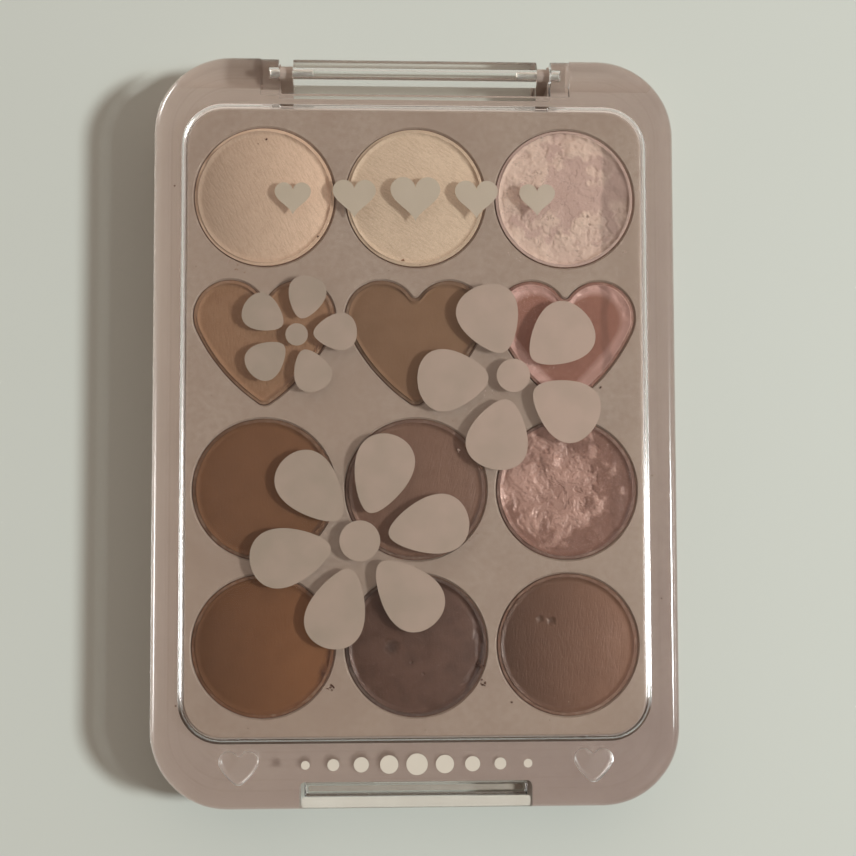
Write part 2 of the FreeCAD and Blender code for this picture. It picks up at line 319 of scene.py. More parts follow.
def makeFloor():
    half = floorSetup["size"] / 2
    corners = [(-half, -half, 0), (half, -half, 0), (half, half, 0), (-half, half, 0)]
    mesh = newMesh("paleFloor", corners, [(0, 1, 2, 3)])
    material, tree, shader = newMaterial("paleFloor", {
        "Roughness": floorSetup["rough"], "Specular IOR Level": floorSetup["gloss"]})
    place = addNode(tree, "ShaderNodeTexCoord").outputs["Object"]
    cloud = noiseAt(tree, place, floorSetup["patchSize"], 4.0)
    feed(shader.inputs["Base Color"], blendColour(tree, cloud, floorSetup["colour"], floorSetup["patch"]))
    mesh.materials.append(material)
    floor = addObject("paleFloor", mesh)


for name, setup in lampSetup.items():
    makeLamp(name, setup)
makeRoom()
makeFloor()
print("light and floor set")


# Shared effects

def makeMouldGrain():
    # the faint flow marks and fine skin of a moulding
    tree, given, result = newGroup("mouldGrain", {
        "Flow Size": 0.12, "Skin Size": 5.0}, {"Flow": "Float", "Height": "Float"})
    place = placeInMm(tree)
    feed(result["Flow"], remap(tree, noiseAt(tree, place, given["Flow Size"], 4.0), 0.32, 0.68))
    feed(result["Height"], noiseAt(tree, place, given["Skin Size"], 3.0))
    return tree


def makeSettledDust():
    # a thin uneven film and a scatter of tiny specks
    tree, given, result = newGroup("settledDust", {
        "Film": 0.3, "Speck Size": 1.6, "Specks": 0.08, "Share": 0.38}, {"Dust": "Float", "Speck": "Float"})
    place = placeInMm(tree)
    cloud = product(tree, noiseAt(tree, place, 0.09, 3.0), noiseAt(tree, place, 1.3, 4.0))
    cells = addNode(tree, "ShaderNodeTexVoronoi", {"Vector": place, "Scale": given["Speck Size"]})
    chosen = calc(tree, "LESS_THAN", noiseAt(tree, cells.outputs["Position"], 3.7, 0.0), given["Share"])
    size = product(tree, given["Specks"], chosen)
    feed(result["Dust"], product(tree, remap(tree, cloud, 0.14, 0.42), given["Film"]))
    feed(result["Speck"], calc(tree, "LESS_THAN", cells.outputs["Distance"], size))
    return tree


def makeHairlines():
    # sparse fine scratches in two directions, and soft finger marks
    tree, given, result = newGroup("hairlines", {
        "First Turn": 0.5, "Second Turn": 2.1, "Sparse": 0.68}, {"Scratch": "Float", "Smear": "Float"})
    place = placeInMm(tree)
    patch = remap(tree, noiseAt(tree, place, 0.11, 2.0), 0.45, 0.6)
    layers = []
    for key, across in (("First Turn", 9.0), ("Second Turn", 7.0)):
        line = noiseAt(tree, stretched(tree, place, given[key], across, 0.13), 1.0, 1.0)
        sharp = calc(tree, "SUBTRACT", line, given["Sparse"])
        layers.append(product(tree, remap(tree, sharp, 0.0, 0.06), patch))
    feed(result["Scratch"], calc(tree, "MAXIMUM", *layers))
    feed(result["Smear"], remap(tree, noiseAt(tree, place, 0.16, 5.0), 0.5, 0.75))
    return tree


def makePowderGrain():
    # pressed powder: tone clouds, fine grain and the short strokes left by the press cloth
    tree, given, result = newGroup("powderGrain", {
        "Colour": (0.5, 0.4, 0.3, 1.0), "Shade": (0.4, 0.3, 0.2, 1.0), "Mottle": 0.4, "Grain": 0.4,
        "Grain Size": 4.0, "Stroke": 0.3, "Stroke Turn": 0.0}, {"Colour": "Color", "Height": "Float"})
    place = placeInMm(tree)
    cloud = remap(tree, noiseAt(tree, place, 0.42, 4.0), 0.35, 0.66)
    grain = noiseAt(tree, place, given["Grain Size"], 3.0)
    line = noiseAt(tree, stretched(tree, place, given["Stroke Turn"], 3.4, 0.8), 1.0, 2.0)
    stroke = product(tree, remap(tree, line, 0.46, 0.62), given["Stroke"])
    dark = product(tree, cloud, given["Mottle"])
    dark = calc(tree, "ADD", dark, product(tree, remap(tree, grain, 0.62, 0.4), given["Grain"]))
    dark = calc(tree, "ADD", dark, product(tree, stroke, 0.5))
    feed(result["Colour"], blendColour(tree, dark, given["Colour"], given["Shade"]))
    feed(result["Height"], calc(tree, "SUBTRACT", product(tree, grain, given["Grain"]), stroke))
    return tree


def makeShimmerGlints():
    # mica flakes: a few cells of a fine mosaic that catch the light, thicker in drifts
    tree, given, result = newGroup("shimmerGlints", {
        "Flake Size": 7.0, "Share": 0.4, "Drift Size": 0.3}, {"Glint": "Float", "Sheen": "Float"})
    place = placeInMm(tree)
    cells = addNode(tree, "ShaderNodeTexVoronoi", {"Vector": place, "Scale": given["Flake Size"]})
    drift = remap(tree, noiseAt(tree, place, given["Drift Size"], 4.0), 0.36, 0.64)
    luck = noiseAt(tree, cells.outputs["Position"], 5.3, 0.0)
    limit = product(tree, given["Share"], remap(tree, drift, 0.0, 1.0, 0.55, 1.05))
    feed(result["Glint"], calc(tree, "LESS_THAN", luck, limit))
    feed(result["Sheen"], drift)
    return tree


mouldGrain = makeMouldGrain()
settledDust = makeSettledDust()
hairlines = makeHairlines()
powderGrain = makePowderGrain()
shimmerGlints = makeShimmerGlints()
print("shared effects ready")


# Clear lid

lidFinish = {
    "colour": (0.985, 0.978, 0.968, 1.0),
    "ior": 1.5,
    "shade": (0.955, 0.945, 0.935, 1.0),  # what each face takes from the lamps' light
    "edgeShade": (0.04, 0.038, 0.035, 1.0),  # the same along the outer edge
    "edge": 0.6,  # width of that edge, mm
    "corner": 11.0,
    "clear": 1.27,  # how deep light may cross that edge and still pass
    "foot": 8.12,  # where the outer wall starts
    "barrelShade": (0.5, 0.48, 0.46, 1.0),
    "barrel": (22.3, 49.3),  # half its length, and where it starts
    "polish": 0.06,  # roughness of a clean face
    "edgeSatin": 0.2,  # roughness of the rounded outer edge
    "satinEdge": (1.4, 0.9),  # how far inside the outline that starts, and is full
    "satinFoot": 10.5,  # below this, nothing is satin
    "dishSatin": 0.3,  # roughness of the heart dishes
    "hearts": (24.9, -47.575, 3.3, 11.98),  # their x and y, half size and upper end
    "scratch": 0.03,
    "scratchTurns": (0.35, 1.9),
    "scratchLeast": 0.66,  # more leaves fewer scratches
    "scratchBump": (0.02, 0.02),  # strength, and depth in mm
    "smear": 0.012,
    "paintedDarkLine": tone(96, 78, 67),  # a painted dark line in the front corner of the sunk face, standing in for the dark reflection there
    "paintedDarkLineShare": 0.85,
    "paintedDarkLineSpan": (-45.6, -40.0, -36.5),  # where it starts, thins out and ends along the case
    "paintedDarkLineRise": (8.3, 9.75, 9.95),  # the same upwards
}


def outlineAt(tree, place):
    # how far out a place lies: the corner radius on the case's outline, less inside it
    low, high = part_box("lid")
    half = [(top - bottom) / 2 / mm - lidFinish["corner"] for bottom, top in zip(low, high)]
    past = vectorCalc(tree, "ABSOLUTE", place, (0, 0, 0))
    past = vectorCalc(tree, "SUBTRACT", past, (half[0], half[1], 100))
    past = vectorCalc(tree, "MAXIMUM", past, (0, 0, 0))
    return addNode(tree, "ShaderNodeVectorMath", {0: past}, operation="LENGTH").outputs["Value"]


def edgeMask(tree, place):
    # light that crosses the block meets the outer wall too flat to leave, so all but its rim throws a shadow
    z = axes(tree, place)["Z"]
    surface = addNode(tree, "ShaderNodeNewGeometry")
    entering = calc(tree, "SUBTRACT", 1.0, surface.outputs["Backfacing"])
    facing = calc(tree, "ABSOLUTE", axes(tree, surface.outputs["True Normal"])["X"])
    depth = product(tree, calc(tree, "SUBTRACT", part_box("lid")[1][2] / mm, z), facing)
    paintedShadeTone = calc(tree, "GREATER_THAN", depth, lidFinish["clear"])
    wall = calc(tree, "GREATER_THAN", z, lidFinish["foot"])
    outer = calc(tree, "GREATER_THAN", outlineAt(tree, place), lidFinish["corner"] - lidFinish["edge"])
    return product(tree, outer, entering, paintedShadeTone, wall)


def barrelMask(tree, place):
    x, y = axes(tree, place)[:2]
    halfLength, start = lidFinish["barrel"]
    within = calc(tree, "LESS_THAN", calc(tree, "ABSOLUTE", x), halfLength)
    return product(tree, within, calc(tree, "GREATER_THAN", y, start))


def satinRoughness(tree, place):
    x, y, z = axes(tree, place)
    heartX, heartY, half, top = lidFinish["hearts"]
    nearX = calc(tree, "SUBTRACT", calc(tree, "ABSOLUTE", x), heartX)
    nearY = calc(tree, "SUBTRACT", y, heartY)
    far = calc(tree, "MAXIMUM", calc(tree, "ABSOLUTE", nearX), calc(tree, "ABSOLUTE", nearY))
    dish = product(tree, calc(tree, "LESS_THAN", far, half), calc(tree, "LESS_THAN", z, top),
                   lidFinish["dishSatin"])
    start, full = [lidFinish["corner"] - inset for inset in lidFinish["satinEdge"]]
    outer = product(tree, remap(tree, outlineAt(tree, place), start, full), lidFinish["edgeSatin"])
    upper = calc(tree, "GREATER_THAN", z, lidFinish["satinFoot"])
    return product(tree, calc(tree, "MAXIMUM", dish, outer), upper)


# where the painted dark line lies
def paintedDarkLineMask(tree, place):
    y, z = axes(tree, place)[1:]
    front, thin, end = lidFinish["paintedDarkLineSpan"]
    low, full, top = lidFinish["paintedDarkLineRise"]
    return product(tree, calc(tree, "GREATER_THAN", y, front), remap(tree, y, end, thin),
                   calc(tree, "GREATER_THAN", z, low), remap(tree, z, top, full))


def makeLidMaterial():
    material, tree, shader = newMaterial("clearStyrene", {"IOR": lidFinish["ior"]})
    firstTurn, secondTurn = lidFinish["scratchTurns"]
    marks = placeGroup(tree, hairlines, {
        "First Turn": firstTurn, "Second Turn": secondTurn, "Sparse": lidFinish["scratchLeast"]})
    haze = product(tree, marks["Smear"], lidFinish["smear"])
    haze = calc(tree, "ADD", haze, product(tree, marks["Scratch"], lidFinish["scratch"]))
    haze = calc(tree, "ADD", haze, lidFinish["polish"])
    place = placeInMm(tree)
    # the painted dark line replaces part of the clear lid with a dark colour
    paintedDarkLine = paintedDarkLineMask(tree, place)
    feedAll(shader, {
        "Base Color": blendColour(tree, paintedDarkLine, lidFinish["colour"], lidFinish["paintedDarkLine"]),
        "Transmission Weight": remap(tree, paintedDarkLine, 0, 1, 1, 1 - lidFinish["paintedDarkLineShare"]),
        "Specular IOR Level": remap(tree, paintedDarkLine, 0, 1, 0.5, 0),
        "Roughness": calc(tree, "MAXIMUM", haze, satinRoughness(tree, place))})
    strength, depth = lidFinish["scratchBump"]
    addBump(shader, marks["Scratch"], strength, depth * mm)
    shade = blendColour(tree, barrelMask(tree, place), lidFinish["shade"], lidFinish["barrelShade"])
    shade = blendColour(tree, edgeMask(tree, place), shade, lidFinish["edgeShade"])
    forFill = letThrough(tree, "Is Diffuse Ray", shader, lidFinish["shade"])
    setSurface(tree, letThrough(tree, "Is Shadow Ray", forFill, shade))
    return material


dress("lid", makeLidMaterial())
print("lid dressed")


# Pink mouldings, pan metal, pins and glue

trayFinish = {
    "colour": tone(163, 142, 128),
    "flow": tone(155, 134, 121),
    "flowSize": 0.08,
    "film": 0.55,  # how thick the dust lies
    "dustColour": tone(182, 164, 150),
    "dustSpan": (40, -46),  # from the hinge side to the latch side
    "frontDust": (1.0, 0.6),  # share of the dust at each of these
    "speckColour": tone(104, 78, 66),
    "specks": (0.06, 0.38),  # their size, and how many
    "speckSize": 0.7,
    "gloss": 0.4,
    "rough": (0.38, 0.56),  # where clean, where dusty
    "skin": 0.06,
    "skinSize": 4.5,
}

shellFinish = {
    **trayFinish,
    "colour": tone(183, 165, 154),
    "flow": tone(177, 159, 148),
    "film": 0.35,
    "paintedSideShade": tone(153, 134, 127),  # painted shade, darker towards the latch and the right side
    "paintedSideShadeLine": (1.36, -61, 94),  # slope of that direction, and its start and end
    "specks": (0.1, 0.27),
    "lines": 0.28,  # strength of the painted dark lines along the outline, standing in for the lines the lid's rounded edge shows
    "paintedEdgeLineSize": 2.6,
    "paintedEdgeLine": tone(126, 107, 98),
}

panFinish = {
    "metal": tone(190, 170, 155),
    "tint": 0.96,  # how dark the film of the pan's own powder lies on its rim
    "film": 0.45,
    "least": 0.8,  # how much of the rim that film covers at least
    "shine": (0.6, 0.1),  # how metallic it is where clean, where dusty
    "rough": (0.32, 0.6),
}

pinFinish = {"colour": tone(228, 225, 219), "rough": (0.3, 0.5)}
glueFinish = {"colour": tone(212, 200, 168), "thin": tone(196, 178, 138), "rough": (0.12, 0.3)}


def makePlastic(name, look):
    material, tree, shader = newMaterial(name, {"Specular IOR Level": look["gloss"]})
    place = placeInMm(tree)
    x, y = axes(tree, place)[:2]
    skin = placeGroup(tree, mouldGrain, {"Flow Size": look["flowSize"], "Skin Size": look["skinSize"]})
    size, share = look["specks"]
    dust = placeGroup(tree, settledDust, {
        "Film": look["film"], "Speck Size": look["speckSize"], "Specks": size, "Share": share})
    colour = blendColour(tree, skin["Flow"], look["colour"], look["flow"])
    # painted shade: the shell darkens towards the latch and the right side
    if "paintedSideShade" in look:
        slope, start, end = look["paintedSideShadeLine"]
        along = calc(tree, "SUBTRACT", product(tree, x, slope), y)
        colour = blendColour(tree, remap(tree, along, start, end), colour, look["paintedSideShade"])
        # painted dark lines along the outline, standing in for the lines that the clear lid's rounded edge
        # shows over the rim
        inward = addNode(tree, "ShaderNodeCombineXYZ", {0: outlineAt(tree, place)})
        line = remap(tree, noiseAt(tree, inward, look["paintedEdgeLineSize"], 3.0), 0.5, 0.75, 0.0, look["lines"])
        colour = blendColour(tree, line, colour, look["paintedEdgeLine"])
    settled = product(tree, dust["Dust"], remap(tree, y, *look["dustSpan"], *look["frontDust"]))
    colour = blendColour(tree, settled, colour, look["dustColour"])
    feedAll(shader, {
        "Base Color": blendColour(tree, dust["Speck"], colour, look["speckColour"]),
        "Roughness": remap(tree, dust["Dust"], 0.0, look["film"], *look["rough"])})
    addBump(shader, skin["Height"], look["skin"], 0.05 * mm)
    return material


def makePanMetal(name, powder):
    material, tree, shader = newMaterial(name, {})
    dust = placeGroup(tree, settledDust, {"Film": panFinish["film"], "Speck Size": 2.4, "Specks": 0.14})
    powdered = calc(tree, "ADD", calc(tree, "MAXIMUM", dust["Dust"], dust["Speck"]), panFinish["least"])
    film = tone(*[panFinish["tint"] * value for value in powder])
    feedAll(shader, {
        "Base Color": blendColour(tree, powdered, panFinish["metal"], film),
        "Metallic": remap(tree, powdered, 0.0, 1.0, *panFinish["shine"]),
        "Roughness": remap(tree, powdered, 0.0, 1.0, *panFinish["rough"])})
    return material


def makePinSteel():
    material, tree, shader = newMaterial("pinSteel", {"Base Color": pinFinish["colour"], "Metallic": 1.0})
    turned = noiseAt(tree, stretched(tree, placeInMm(tree), 0.0, 14.0, 0.6), 1.0, 3.0)
    feed(shader.inputs["Roughness"], remap(tree, turned, 0.3, 0.7, *pinFinish["rough"]))
    return material


def makeGlue():
    material, tree, shader = newMaterial("panGlue", {})
    cloud = noiseAt(tree, placeInMm(tree), 0.6, 4.0)
    feedAll(shader, {
        "Base Color": blendColour(tree, cloud, glueFinish["colour"], glueFinish["thin"]),
        "Roughness": remap(tree, cloud, 0.3, 0.7, *glueFinish["rough"])})
    return material


dress("base_shell", makePlastic("blushShell", shellFinish))
dress("pan_tray", makePlastic("blushTray", trayFinish))
pinSteel = makePinSteel()
dress("hinge_pin_left", pinSteel)
dress("hinge_pin_right", pinSteel)
dress("pan_glue", makeGlue())
print("mouldings dressed")


# Powder cakes

# the mesh of each cake, then its crown, its foot over the pan's floor and its radius, in mm
cakeBuild = {"rings": 84, "spokes": 336, "crown": 0.3, "foot": 0.6, "reach": 9.6}
spokeTurns = [2 * math.pi * spoke / cakeBuild["spokes"] for spoke in range(cakeBuild["spokes"])]
spokeWays = [(math.cos(turn), math.sin(turn)) for turn in spokeTurns]

plainCake = {
    "dome": 0.42,  # rise of the middle over the edge, mm
    "lip": 0.38,  # powder pushed up against the pan's wall
    "lipWidth": 0.7,
    "wave": 0.03,
    "flake": 0.0,  # height of one step where powder has come away
    "flakeSize": 2.2,
    "crumbleWidth": 2.2,  # how far the breakage reaches from the wall
    "crumbleSide": (0, 181),  # its middle and half angle, in degrees from +x
    "crumblePatch": (),  # or a round patch instead: x, y, radius
    "ragged": 0.55,
    "crumbleSoft": 0.6,  # width of its border
    "cracks": 0.0,  # how much of the breakage shows everywhere else
    "lipFresh": 0.0,  # how much of the fresh colour shows on the lip
    "spots": [],  # single dents or lumps: x, y, radius, rise in mm
    "band": (),  # a painted shadow strip: from x, to x, how dark
    "mottle": 0.3,
    "grain": 0.35,
    "grainSize": 4.2,
    "stroke": 0.1,
    "strokeTurn": 0.0,
    "bump": 0.35,
    "bumpDepth": 0.12,  # mm
    "paintedShadeTone": 0.55,  # how dark the painted shade in hollows and on the shaded side is
    "paintedSideShade": 0.0,  # how far painted shade darkens the left side, away from the lamp
    "glint": 0.0,  # share of mica flakes
    "glintColour": (226, 196, 184),
    "flakeShine": 0.26,  # how bright they are
    "gloss": 0.25,
    "rough": 0.85,
}

cakeLooks = {
    "row1_left": {
        "colour": (238, 205, 180), "shade": (213, 180, 155), "stroke": 0.5, "strokeTurn": -28, "dome": 0.7,
        "mottle": 0.2, "lip": 0.5, "paintedSideShade": 0.66, "slot": "powder_peach"},
    "row1_middle": {
        "colour": (228, 202, 177), "shade": (202, 175, 151), "stroke": 0.5, "strokeTurn": -55, "dome": 0.5,
        "mottle": 0.2, "lip": 0.45, "paintedSideShade": 0.16, "slot": "powder_cream"},
    "row1_right": {
        "colour": (204, 173, 162), "shade": (188, 157, 146), "fresh": (221, 193, 177), "dome": 0.1,
        "flake": 0.1, "flakeSize": 2.4, "crumbleWidth": 5.0, "ragged": 1.1, "crumbleSide": (188, 165),
        "crumbleSoft": 1.6, "band": (5.3, 9.9, 0.8), "cracks": 0.5, "spots": [
            (-4.3, 0.4, 0.3, -0.2), (3.4, -2.5, 0.26, -0.2), (3.7, -3.7, 0.24, -0.2),
            (-0.9, -5.0, 0.4, -0.16)],
        "slot": "powder_pale_pink"},
    "row2_left": {
        "colour": (162, 124, 97), "shade": (140, 103, 77), "stroke": 0.36, "paintedSideShade": 0.2,
        "slot": "powder_apricot_tan"},
    "row2_middle": {
        "colour": (136, 104, 81), "shade": (118, 87, 64), "grain": 0.25, "paintedSideShade": 0.1,
        "slot": "powder_warm_taupe"},
    "row2_right": {
        "colour": (154, 106, 91), "shade": (132, 87, 73), "fresh": (206, 164, 154), "dome": -0.3,
        "lip": 0.46, "lipWidth": 2.0, "lipFresh": 0.8, "flake": 0.05, "crumbleWidth": 1.5,
        "crumbleSide": (130, 110), "glint": 0.3, "rough": 0.5, "band": (5.0, 6.7, 0.6),
        "slot": "powder_rose"},
    "row3_left": {
        "colour": (123, 84, 58), "shade": (104, 69, 45), "grain": 0.2, "paintedSideShade": 0.25,
        "slot": "powder_tan_brown"},
    "row3_middle": {
        "colour": (126, 95, 80), "shade": (106, 76, 62), "stroke": 0.25, "strokeTurn": 12, "glint": 0.2,
        "rough": 0.6, "slot": "powder_satin_taupe"},
    "row3_right": {
        "colour": (138, 101, 89), "shade": (116, 83, 71), "fresh": (193, 154, 141), "dome": 0.12,
        "flake": 0.1, "flakeSize": 2.4, "crumblePatch": (-2.6, 2.0, 9.2), "ragged": 0.4,
        "crumbleSoft": 2.2, "band": (6.2, 9.4, 0.35), "cracks": 0.25, "spots": [(-2.5, 4.1, 1.4, 0.4)],
        "glint": 0.3, "rough": 0.5, "slot": "powder_pink_glitter"},
    "row4_left": {
        "colour": (134, 90, 60), "shade": (114, 72, 44), "fresh": (98, 62, 42), "grain": 0.2,
        "flake": 0.08, "crumbleWidth": 0.9, "crumbleSide": (-22, 22), "paintedSideShade": 0.7, "slot": "powder_brown"},
    "row4_middle": {
        "colour": (97, 70, 59), "shade": (77, 53, 43), "fresh": (76, 52, 44), "mottle": 0.7,
        "flake": 0.08, "crumbleWidth": 1.2, "crumbleSide": (-8, 40), "spots": [
            (-3.4, -0.2, 1.1, -0.12), (-0.6, -2.4, 0.24, -0.1), (1.0, -4.0, 0.2, -0.1)],
        "glint": 0.22, "rough": 0.6, "slot": "powder_dark_mauve"},
    "row4_right": {
        "colour": (139, 101, 82), "shade": (117, 81, 63), "stroke": 0.25, "strokeTurn": 4, "dome": 0.5,
        "paintedSideShade": 0.84, "glint": 0.2, "rough": 0.6,
        "spots": [(-3.9, 3.6, 0.5, -0.12), (-2.3, 3.4, 0.6, -0.14)], "slot": "powder_mauve_brown"},
}


def crumbleShare(look, x, y, inset, salt):
    # how surely the powder is broken here
    ragged = 1 + look["ragged"] * noise.fractal(Vector((x / 2.6, y / 2.6, salt)), 0.8, 2.1, 4)
    if look["crumblePatch"]:
        patchX, patchY, size = look["crumblePatch"]
        return clamp((size * ragged - math.hypot(x - patchX, y - patchY)) / look["crumbleSoft"])
    middle, half = look["crumbleSide"]
    angle = math.degrees(math.atan2(y, x)) + 22 * noise.noise(Vector((x / 2.6, y / 2.6, salt + 9)))
    away = abs((angle - middle + 180) % 360 - 180)
    return clamp((look["crumbleWidth"] * ragged - inset) / look["crumbleSoft"]) * clamp((half - away) / 10)


def chipAt(look, x, y, salt):
    # ragged steps with rough tops: the level, and how near the foot of the next step is
    size = look["flakeSize"]
    field = 2.8 * noise.fractal(Vector((x / size, y / size, salt)), 0.9, 2.1, 4)
    below = math.floor(field)
    part = field - below
    rise = clamp((part - 0.7) / 0.3)
    rough = noise.fractal(Vector((x * 1.4, y * 1.4, salt + 1)), 0.8, 2.0, 3)
    foot = clamp(1 - abs(part - 0.68) / 0.08) * clamp(5 * noise.noise(Vector((x / 1.4, y / 1.4, salt + 4))))
    return clamp((below + rise + 2) / 4) * 2 - 1 + 0.16 * rough, foot


def cakeSurface(look, x, y, inset, salt):
    # height over the cake's edge in mm, how broken the powder is there, and the painted shade in its
    # hollows, at the feet of its steps and in its shaded strip
    span = math.hypot(x, y) / cakeBuild["reach"]
    height = look["dome"] * (1 - span * span)
    height += look["wave"] * noise.noise(Vector((x / 3.2, y / 3.2, salt + 3)))
    lip = clamp(1 - inset / look["lipWidth"])
    height += look["lip"] * lip * lip * (1 + 0.5 * noise.noise(Vector((x / 1.7, y / 1.7, salt + 5))))
    broken = look["lipFresh"] * clamp(2 * lip)
    dent = 0.0
    share = crumbleShare(look, x, y, inset, salt) if look["flake"] else 0.0
    relief = max(share, look["cracks"])
    if relief > 0:
        level, foot = chipAt(look, x, y, salt)
        height += look["flake"] * relief * (2 * level - 1)
        broken = max(broken, share * clamp(0.7 + 0.3 * level))
        # painted shade at the foot of each step
        dent = min(1.0, 2 * relief) * foot
    for spotX, spotY, size, rise in look["spots"]:
        wobble = 1 + 0.35 * noise.noise(Vector((x * 1.7, y * 1.7, salt + 7)))
        near = clamp(1.25 - math.hypot(x - spotX, y - spotY) * wobble / size)
        near = near * near * (3 - 2 * near)
        height += rise * near
        # dents get painted shade
        if rise < 0:
            dent = max(dent, near)
    # the strip is a painted shadow
    if look["band"]:
        start, end, dark = look["band"]
        shifted = x + 0.5 * noise.noise(Vector((x / 2, y / 2, salt + 6)))
        dent = max(dent, dark * clamp((shifted - start) / 0.5) * clamp((end - shifted) / 0.5))
    return height, broken, dent


def attributeAt(tree, name):
    return addNode(tree, "ShaderNodeAttribute", attribute_name=name).outputs["Fac"]


def makePowder(name, look, middle=0.0):
    material, tree, shader = newMaterial(name, {
        "Specular IOR Level": look["gloss"], "Roughness": look["rough"]})
    powder = placeGroup(tree, powderGrain, {
        "Colour": tone(*look["colour"]), "Shade": tone(*look["shade"]), "Mottle": look["mottle"],
        "Grain": look["grain"], "Grain Size": look["grainSize"], "Stroke": look["stroke"],
        "Stroke Turn": math.radians(look["strokeTurn"])})
    colour = powder["Colour"]
    paintedShadeTone = tone(*[look["paintedShadeTone"] * value for value in look["shade"]])
    # painted shade: the left side darkens towards the painted shade tone
    if look["paintedSideShade"]:
        x, reach = axes(tree, placeInMm(tree))["X"], cakeBuild["reach"]
        side = remap(tree, x, middle + reach, middle - reach, 0.0, look["paintedSideShade"])
        colour = blendColour(tree, side, colour, paintedShadeTone)
    if "fresh" in look:
        colour = blendColour(tree, attributeAt(tree, "broken"), colour, tone(*look["fresh"]))
    # painted shade in hollows, at the feet of steps and in the shadow strip
    if look["flake"] or look["spots"] or look["band"]:
        colour = blendColour(tree, product(tree, attributeAt(tree, "dent"), 0.5), colour, paintedShadeTone)
    if look["glint"]:
        mica = placeGroup(tree, shimmerGlints, {"Flake Size": 11.0, "Share": look["glint"]})
        shine = product(tree, mica["Glint"], look["flakeShine"])
        colour = blendColour(tree, shine, colour, tone(*look["glintColour"]))
        feedAll(shader, {
            "Metallic": shine, "Roughness": remap(tree, mica["Sheen"], 0.0, 1.0, look["rough"], 0.42)})
    feed(shader.inputs["Base Color"], colour)
    addBump(shader, powder["Height"], look["bump"], look["bumpDepth"] * mm)
    return material


def makeCake(spot, look, salt):
    nodeName = "powder_" + spot
    low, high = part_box(nodeName)
    middle = (Vector(low) + Vector(high)) / 2
    edge = high[2] - cakeBuild["crown"] * mm
    foot = low[2] + cakeBuild["foot"] * mm
    walls = faceTree(nodes[nodeName].data)
    reach = [(walls.ray_cast(middle, Vector((*way, 0)))[0] - middle).length / mm for way in spokeWays]
    spokes, rings = cakeBuild["spokes"], cakeBuild["rings"]
    places = [(0.0, 0.0, reach[0])]
    for ring in range(1, rings + 1):
        for (across, up), far in zip(spokeWays, reach):
            out = far * ring / rings
            places.append((out * across, out * up, far - out))
    heights, broken, dent = zip(*[cakeSurface(look, *place, salt) for place in places])
    points = [(middle.x + x * mm, middle.y + y * mm, edge + height * mm)
              for (x, y, inset), height in zip(places, heights)]
    points += [(x, y, foot) for x, y, z in points[-spokes:]] + [(middle.x, middle.y, foot)]
    under = (0.0,) * (spokes + 1)
    faces = []
    below = 1 + rings * spokes
    for spoke in range(spokes):
        after = (spoke + 1) % spokes
        faces.append((0, 1 + spoke, 1 + after))
        for ring in range(rings):
            inner, outer = 1 + ring * spokes, 1 + (ring + 1) * spokes
            faces.append((inner + spoke, outer + spoke, outer + after, inner + after))
        faces.append((below + after, below + spoke, below + spokes))
    mesh = newMesh("cake_" + spot, points, faces, broken=broken + under, dent=dent + under)
    mesh.polygons.foreach_set("use_smooth", [True] * len(mesh.polygons))
    mesh.materials.append(makePowder(mesh.name, look, middle.x / mm))
    dress("pan_" + spot, makePanMetal("pan_" + spot, look["shade"]))
    cake = newPiece(mesh.name, mesh, "base")
    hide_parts(nodeName)
    return mesh


cakes = [makeCake(spot, {**plainCake, **own}, salt * 17.3)
         for salt, (spot, own) in enumerate(cakeLooks.items())]
print("powder cakes pressed")


# Powder dust that has settled in the gap round each pan, dark brown so that it also paints the gap's shade

loosePowder = {**plainCake, "mottle": 0.6, "grain": 0.4, "grainSize": 6.0, "stroke": 0.0, "bump": 0.3,
               "bumpDepth": 0.05}

gapDustAndShade = {
    **loosePowder,
    # dark brown: partly powder dust, partly painted shade for the gap
    "colour": (116, 86, 70),
    "shade": (86, 60, 47),
    "mottle": 0.8,
    "rough": 0.9,
    "gloss": 0.2,
    "below": 0.24,  # how far under the deck it lies, mm
    "uneven": 0.06,
    "tall": 0.3,
    "wide": 0.2,
    "sunk": 0.01,  # how far it reaches into the wall
}


def gapRing(nodeName, walls, points, faces, salt):
    low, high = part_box(nodeName)
    middle = (Vector(low) + Vector(high)) / 2
    middle.z = high[2] - gapDustAndShade["below"] * mm
    spokes, first = cakeBuild["spokes"], len(points)
    foot = Vector((0, 0, -gapDustAndShade["tall"] * mm))
    for spoke, way in enumerate(spokeWays):
        outward = Vector((*way, 0))
        wall = walls.ray_cast(middle, outward)[0] + outward * gapDustAndShade["sunk"] * mm
        pan = wall - outward * gapDustAndShade["wide"] * mm
        rise = gapDustAndShade["uneven"] * noise.noise(wall / mm * 0.9 + Vector((0, 0, salt))) * mm
        top = Vector((0, 0, rise))
        points += [pan + top, wall + top, wall + foot, pan + foot]
        here, after = first + 4 * spoke, first + 4 * ((spoke + 1) % spokes)
        for side in range(4):
            nextSide = (side + 1) % 4
            faces.append((here + side, here + nextSide, after + nextSide, after + side))


def makeGapDustAndShade():
    walls = faceTree(nodes["pan_tray"].data)
    points, faces = [], []
    for salt, spot in enumerate(cakeLooks):
        gapRing("pan_" + spot, walls, points, faces, salt * 5.1)
    mesh = newMesh("gapDustAndShade", points, faces)
    mesh.materials.append(makePowder("gapDustAndShade", gapDustAndShade))
    newPiece("gapDustAndShade", mesh, "base")


makeGapDustAndShade()
print("gaps dusted")


# Print on the lid, a pale film that paints a highlight under its front edge, and a dim film that paints
# shade over the latch tongue

